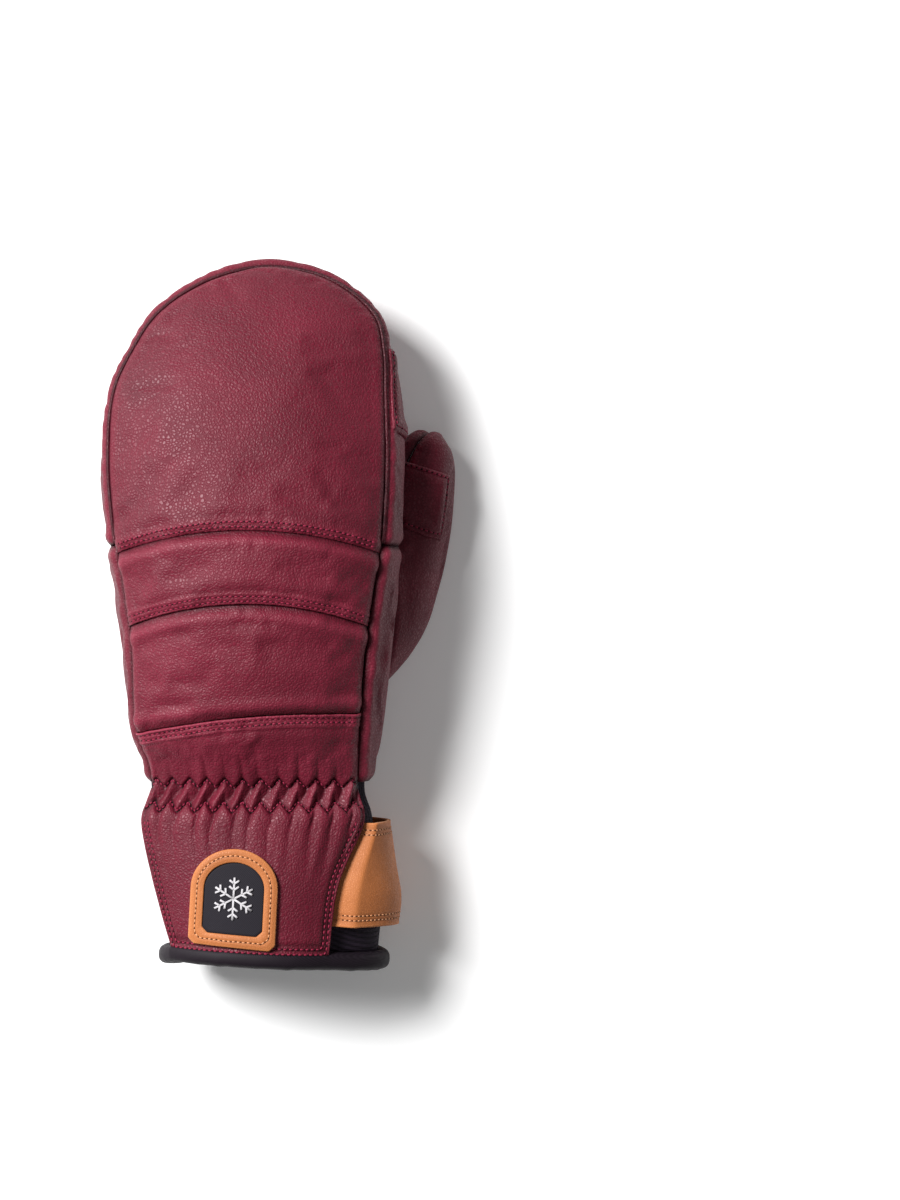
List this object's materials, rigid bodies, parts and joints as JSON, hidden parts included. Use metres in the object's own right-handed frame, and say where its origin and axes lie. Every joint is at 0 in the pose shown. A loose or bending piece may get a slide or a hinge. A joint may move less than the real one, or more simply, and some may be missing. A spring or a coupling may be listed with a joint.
{
  "type": "ski mitten",
  "caption": "Leather ski mitten for the left hand with padded lining, gathered elastic wrist and a neoprene cuff closed by a hook-and-loop strap.",
  "frame": {"origin": "under the middle of the mitten, on the surface it lies on, palm down", "axes": "+X towards the thumb side, +Y towards the fingertips, +Z out of the back of the hand"},
  "size_m": [0.1406, 0.2856, 0.0721],
  "materials": {
    "wine_leather": "pebbled cowhide, soft satin",
    "tan_leather": "smooth veg-tan leather, raw cut edges",
    "black_neoprene": "neoprene faced with knitted nylon",
    "black_hook": "hook-and-loop tape",
    "woven_label": "woven label",
    "wadding": "polyester insulation",
    "foam": "soft foam pad",
    "lining": "brushed fleece lining",
    "elastic": "woven elastic"
  },
  "bodies": {
    "hand": {"knuckle_band_upper": "wine_leather", "knuckle_band_lower": "wine_leather", "palm_panel": "wine_leather", "outer_side_gusset": "wine_leather", "thumb_side_gusset": "wine_leather", "knuckle_pad_upper": "foam", "knuckle_pad_lower": "foam", "back_wadding": "wadding", "palm_wadding": "wadding", "hand_lining": "lining"},
    "fingers": {"back_finger_panel": "wine_leather", "fingertip_gusset": "wine_leather", "index_patch": "wine_leather"},
    "thumb": {"thumb_outer_panel": "wine_leather", "thumb_inner_panel": "wine_leather", "thumb_patch": "wine_leather", "thumb_wadding": "wadding", "thumb_lining": "lining"},
    "cuff": {"back_cuff_panel": "wine_leather", "cuff_sleeve": "black_neoprene", "cuff_binding": "black_neoprene", "wrist_elastic_back": "elastic", "wrist_elastic_palm": "elastic", "strap_base": "tan_leather", "cuff_loop_patch": "black_hook", "palm_pull_strip": "tan_leather", "badge_frame": "tan_leather", "badge_label": "woven_label"},
    "strap": {"strap_tab": "tan_leather", "strap_hook_patch": "black_hook"}
  },
  "joints": [
    {"name": "finger_fold", "type": "hinge", "parent": "hand", "child": "fingers", "pos_m": [-0.008, 0.027, 0.032], "axis": [-1, 0, 0], "range_deg": [0, 35], "deforming": ["palm_panel", "palm_wadding", "back_wadding", "hand_lining", "fingertip_gusset"]},
    {"name": "thumb_swing", "type": "hinge", "parent": "hand", "child": "thumb", "pos_m": [0.0158, -0.0351, 0.026], "axis": [0, 0, 1], "range_deg": [-25, 2], "deforming": ["thumb_outer_panel", "thumb_inner_panel", "thumb_patch", "thumb_wadding", "thumb_lining"]},
    {"name": "wrist_bend", "type": "hinge", "parent": "hand", "child": "cuff", "pos_m": [-0.006, -0.071, 0.031], "axis": [1, 0, 0], "range_deg": [-25, 25], "deforming": ["back_cuff_panel", "cuff_sleeve", "wrist_elastic_back", "wrist_elastic_palm"]},
    {"name": "strap_peel", "type": "hinge", "parent": "cuff", "child": "strap", "pos_m": [0.0452, -0.1036, 0.0243], "axis": [0.0773, -0.9961, -0.0425], "range_deg": [0, 120], "deforming": ["strap_base", "strap_tab"]}
  ]
}
